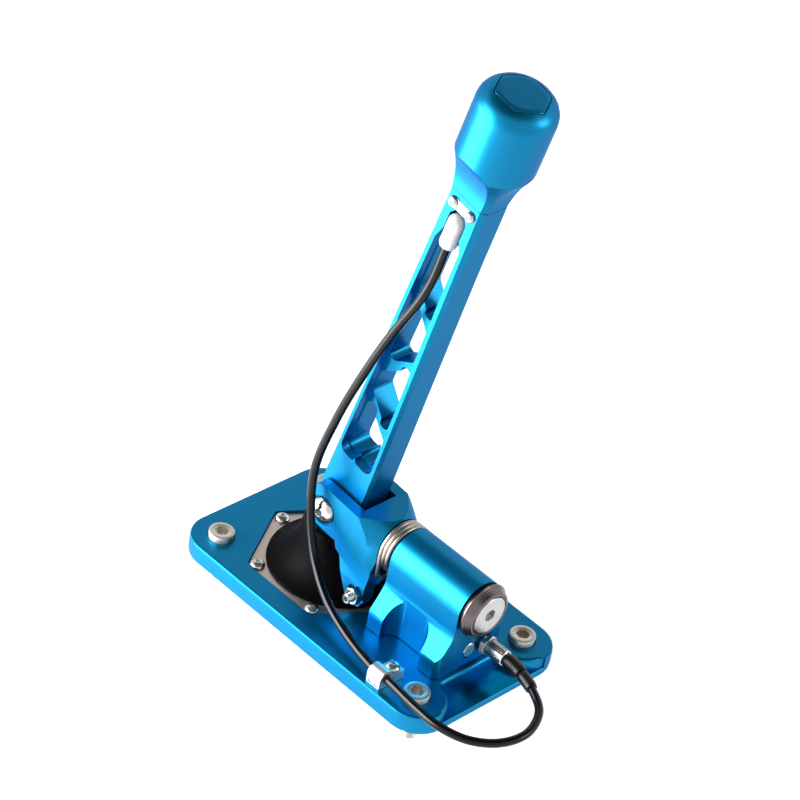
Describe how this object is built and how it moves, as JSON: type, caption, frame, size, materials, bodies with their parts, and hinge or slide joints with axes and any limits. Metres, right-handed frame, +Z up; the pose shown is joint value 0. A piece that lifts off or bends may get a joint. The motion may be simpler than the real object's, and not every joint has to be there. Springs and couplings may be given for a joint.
{
  "type": "short shifter",
  "caption": "Short-throw gear shifter: truss lever and button knob on a sprung cross-shaft yoke, pivot housing, boot and cable-operated lock on a rectangular base plate.",
  "frame": {"origin": "centre of the rectangle of the four mounting screws, on the underside of the base plate", "axes": "+Z up, square to the base plate; +X along the cross shaft from the lever toward the end cap and the cable adjuster; +Y away from the side of the lever that carries the cable"},
  "size_m": [0.2102, 0.101, 0.3498],
  "materials": {
    "blue_anodised": "satin blue anodised aluminium",
    "zinc_steel": "bright zinc plated steel",
    "brushed_stainless": "brushed and turned stainless steel",
    "ground_steel": "ground hardened steel",
    "bright_aluminium": "bright milled aluminium",
    "boot_rubber": "matte black rubber",
    "cable_sheath": "glossy black plastic sheath",
    "white_nylon": "white nylon",
    "bearing_plastic": "black self-lubricating plastic"
  },
  "bodies": {
    "base": {"base_plate": "blue_anodised", "mounting_screw_1": "zinc_steel", "mounting_screw_2": "zinc_steel", "mounting_screw_3": "zinc_steel", "mounting_screw_4": "zinc_steel", "housing_bolt_1": "zinc_steel", "housing_bolt_2": "zinc_steel", "housing_bolt_3": "zinc_steel", "housing_bolt_4": "zinc_steel", "boot_ring": "brushed_stainless", "ring_screw_1": "zinc_steel", "ring_screw_2": "zinc_steel", "ring_screw_3": "zinc_steel", "ring_screw_4": "zinc_steel", "ring_screw_5": "zinc_steel", "ring_screw_6": "zinc_steel", "boot": "boot_rubber", "pivot_housing": "blue_anodised", "cap_bush": "bearing_plastic", "yoke_bush": "bearing_plastic", "stop_pin": "ground_steel", "spring_anchor_pin": "ground_steel", "adjuster_barrel": "zinc_steel", "adjuster_nut": "zinc_steel", "torsion_spring": "brushed_stainless", "cable_clamp": "bright_aluminium", "clamp_screw": "zinc_steel", "clamp_grub_screw_1": "zinc_steel", "clamp_grub_screw_2": "zinc_steel", "sleeve_large": "cable_sheath", "sleeve_small": "cable_sheath", "cable": "cable_sheath"},
    "yoke": {"yoke": "blue_anodised", "spring_drive_pin": "ground_steel", "cross_shaft": "ground_steel", "end_cap": "brushed_stainless", "end_cap_screw": "zinc_steel", "pivot_bolt": "zinc_steel", "pivot_nut": "zinc_steel", "thrust_washer_1": "bearing_plastic", "thrust_washer_2": "bearing_plastic", "stop_screw_1": "zinc_steel", "stop_screw_2": "zinc_steel", "stop_nut_1": "zinc_steel", "stop_nut_2": "zinc_steel"},
    "lever": {"lever": "blue_anodised", "pivot_bush": "bearing_plastic", "eye_bush": "bearing_plastic", "cable_ferrule": "white_nylon", "retainer_strip": "bright_aluminium", "retainer_screw_1": "zinc_steel", "retainer_screw_2": "zinc_steel", "knob": "blue_anodised", "button_spring": "ground_steel"},
    "button": {"knob_button": "blue_anodised", "push_rod": "ground_steel"},
    "plunger": {"lock_plunger": "ground_steel"}
  },
  "joints": [
    {"name": "yoke_rock", "type": "hinge", "parent": "base", "child": "yoke", "pos_m": [0, 0, 0.0463], "axis": [1, 0, 0], "range_deg": [-8, 8], "stiffness_Nm_per_rad": 6, "deforming": ["torsion_spring", "boot", "cable"]},
    {"name": "lever_throw", "type": "hinge", "parent": "yoke", "child": "lever", "pos_m": [-0.0242, 0, 0.049], "axis": [0, 1, 0], "range_deg": [-9, 9], "deforming": ["boot", "cable"]},
    {"name": "button_press", "type": "slide", "parent": "lever", "child": "button", "axis": [-0.2079, 0, -0.9781], "range_m": [0, 0.004], "stiffness_N_per_m": 800, "springref_m": -0.002, "deforming": ["button_spring"]},
    {"name": "plunger_slide", "type": "slide", "parent": "base", "child": "plunger", "axis": [1, 0, 0], "range_m": [0, 0.004]}
  ],
  "couplings": [
    {"joint": "plunger_slide", "follows": "button_press", "ratio": 1}
  ]
}
